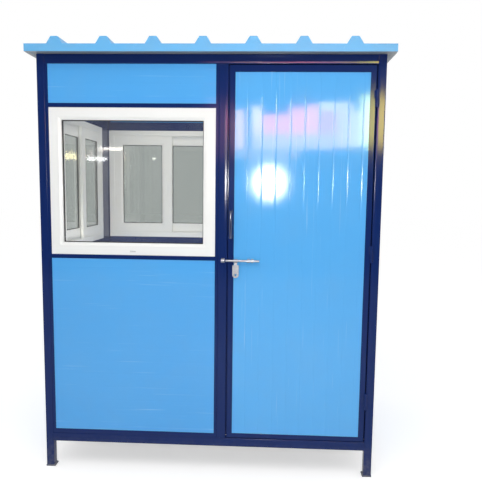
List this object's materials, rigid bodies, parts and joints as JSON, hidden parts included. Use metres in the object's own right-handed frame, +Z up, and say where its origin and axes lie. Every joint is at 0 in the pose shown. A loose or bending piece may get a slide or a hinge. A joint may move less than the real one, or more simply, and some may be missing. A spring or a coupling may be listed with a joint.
{
  "type": "security guard booth",
  "caption": "Portable steel guard booth on short legs, with sandwich panel walls, white plastic windows, a hinged door with a pull handle and sliding bolt, and a ribbed roof.",
  "frame": {"origin": "on the ground under the middle of the plan", "axes": "+X to the right seen from the front, +Y from the front towards the rear, +Z up"},
  "size_m": [1.91, 1.344, 2.35],
  "materials": {
    "navy_paint": "gloss enamel",
    "sky_panel": "satin coil coat",
    "sky_roof": "satin coil coat",
    "white_upvc": "extruded",
    "window_glass": "clear float",
    "zinc_steel": "bright zinc",
    "plate_steel": "dusty enamel",
    "floor_sheet": "vinyl sheet"
  },
  "bodies": {
    "cabin": {"corner_post_front_left": "navy_paint", "corner_post_front_right": "navy_paint", "corner_post_rear_left": "navy_paint", "corner_post_rear_right": "navy_paint", "mullions": "navy_paint", "base_long_beams": "navy_paint", "base_side_beams": "navy_paint", "top_long_beams": "navy_paint", "top_side_beams": "navy_paint", "foot_plates": "plate_steel", "floor_joists": "navy_paint", "floor_board": "floor_sheet", "front_channel": "navy_paint", "left_channel": "navy_paint", "right_channel": "navy_paint", "rear_window_channel": "navy_paint", "rear_panel_channel": "navy_paint", "front_wall_panels": "sky_panel", "left_wall_panels": "sky_panel", "right_wall_panels": "sky_panel", "rear_wall_panels": "sky_panel", "front_window_frame": "white_upvc", "front_window_glass": "window_glass", "left_window_frame": "white_upvc", "left_window_sashes": "white_upvc", "left_window_glass": "window_glass", "right_window_frame": "white_upvc", "right_window_sashes": "white_upvc", "right_window_glass": "window_glass", "rear_window_frame": "white_upvc", "rear_window_sashes": "white_upvc", "rear_window_glass": "window_glass", "roof_panel": "sky_roof", "eave_trims": "sky_roof", "verge_trims": "sky_roof", "door_stop": "navy_paint", "hinge_pins": "navy_paint", "bolt_keeper": "zinc_steel"},
    "door": {"door_frame": "navy_paint", "door_panel": "sky_panel", "door_handle": "navy_paint", "bolt_guides": "zinc_steel", "hinge_sleeves": "navy_paint"},
    "bolt": {"bolt_rod": "zinc_steel"},
    "hasp": {"bolt_hasp": "zinc_steel"}
  },
  "joints": [
    {"name": "door_hinge", "type": "hinge", "parent": "cabin", "child": "door", "pos_m": [0.8685, -0.6161, 1.2], "axis": [0, 0, 1], "range_deg": [0, 170]},
    {"name": "bolt_slide", "type": "slide", "parent": "door", "child": "bolt", "axis": [-1, 0, 0], "range_m": [0, 0.026]},
    {"name": "hasp_turn", "type": "hinge", "parent": "bolt", "child": "hasp", "pos_m": [0.15, -0.624, 1.198], "axis": [-1, 0, 0], "range_deg": [0, 150]}
  ]
}
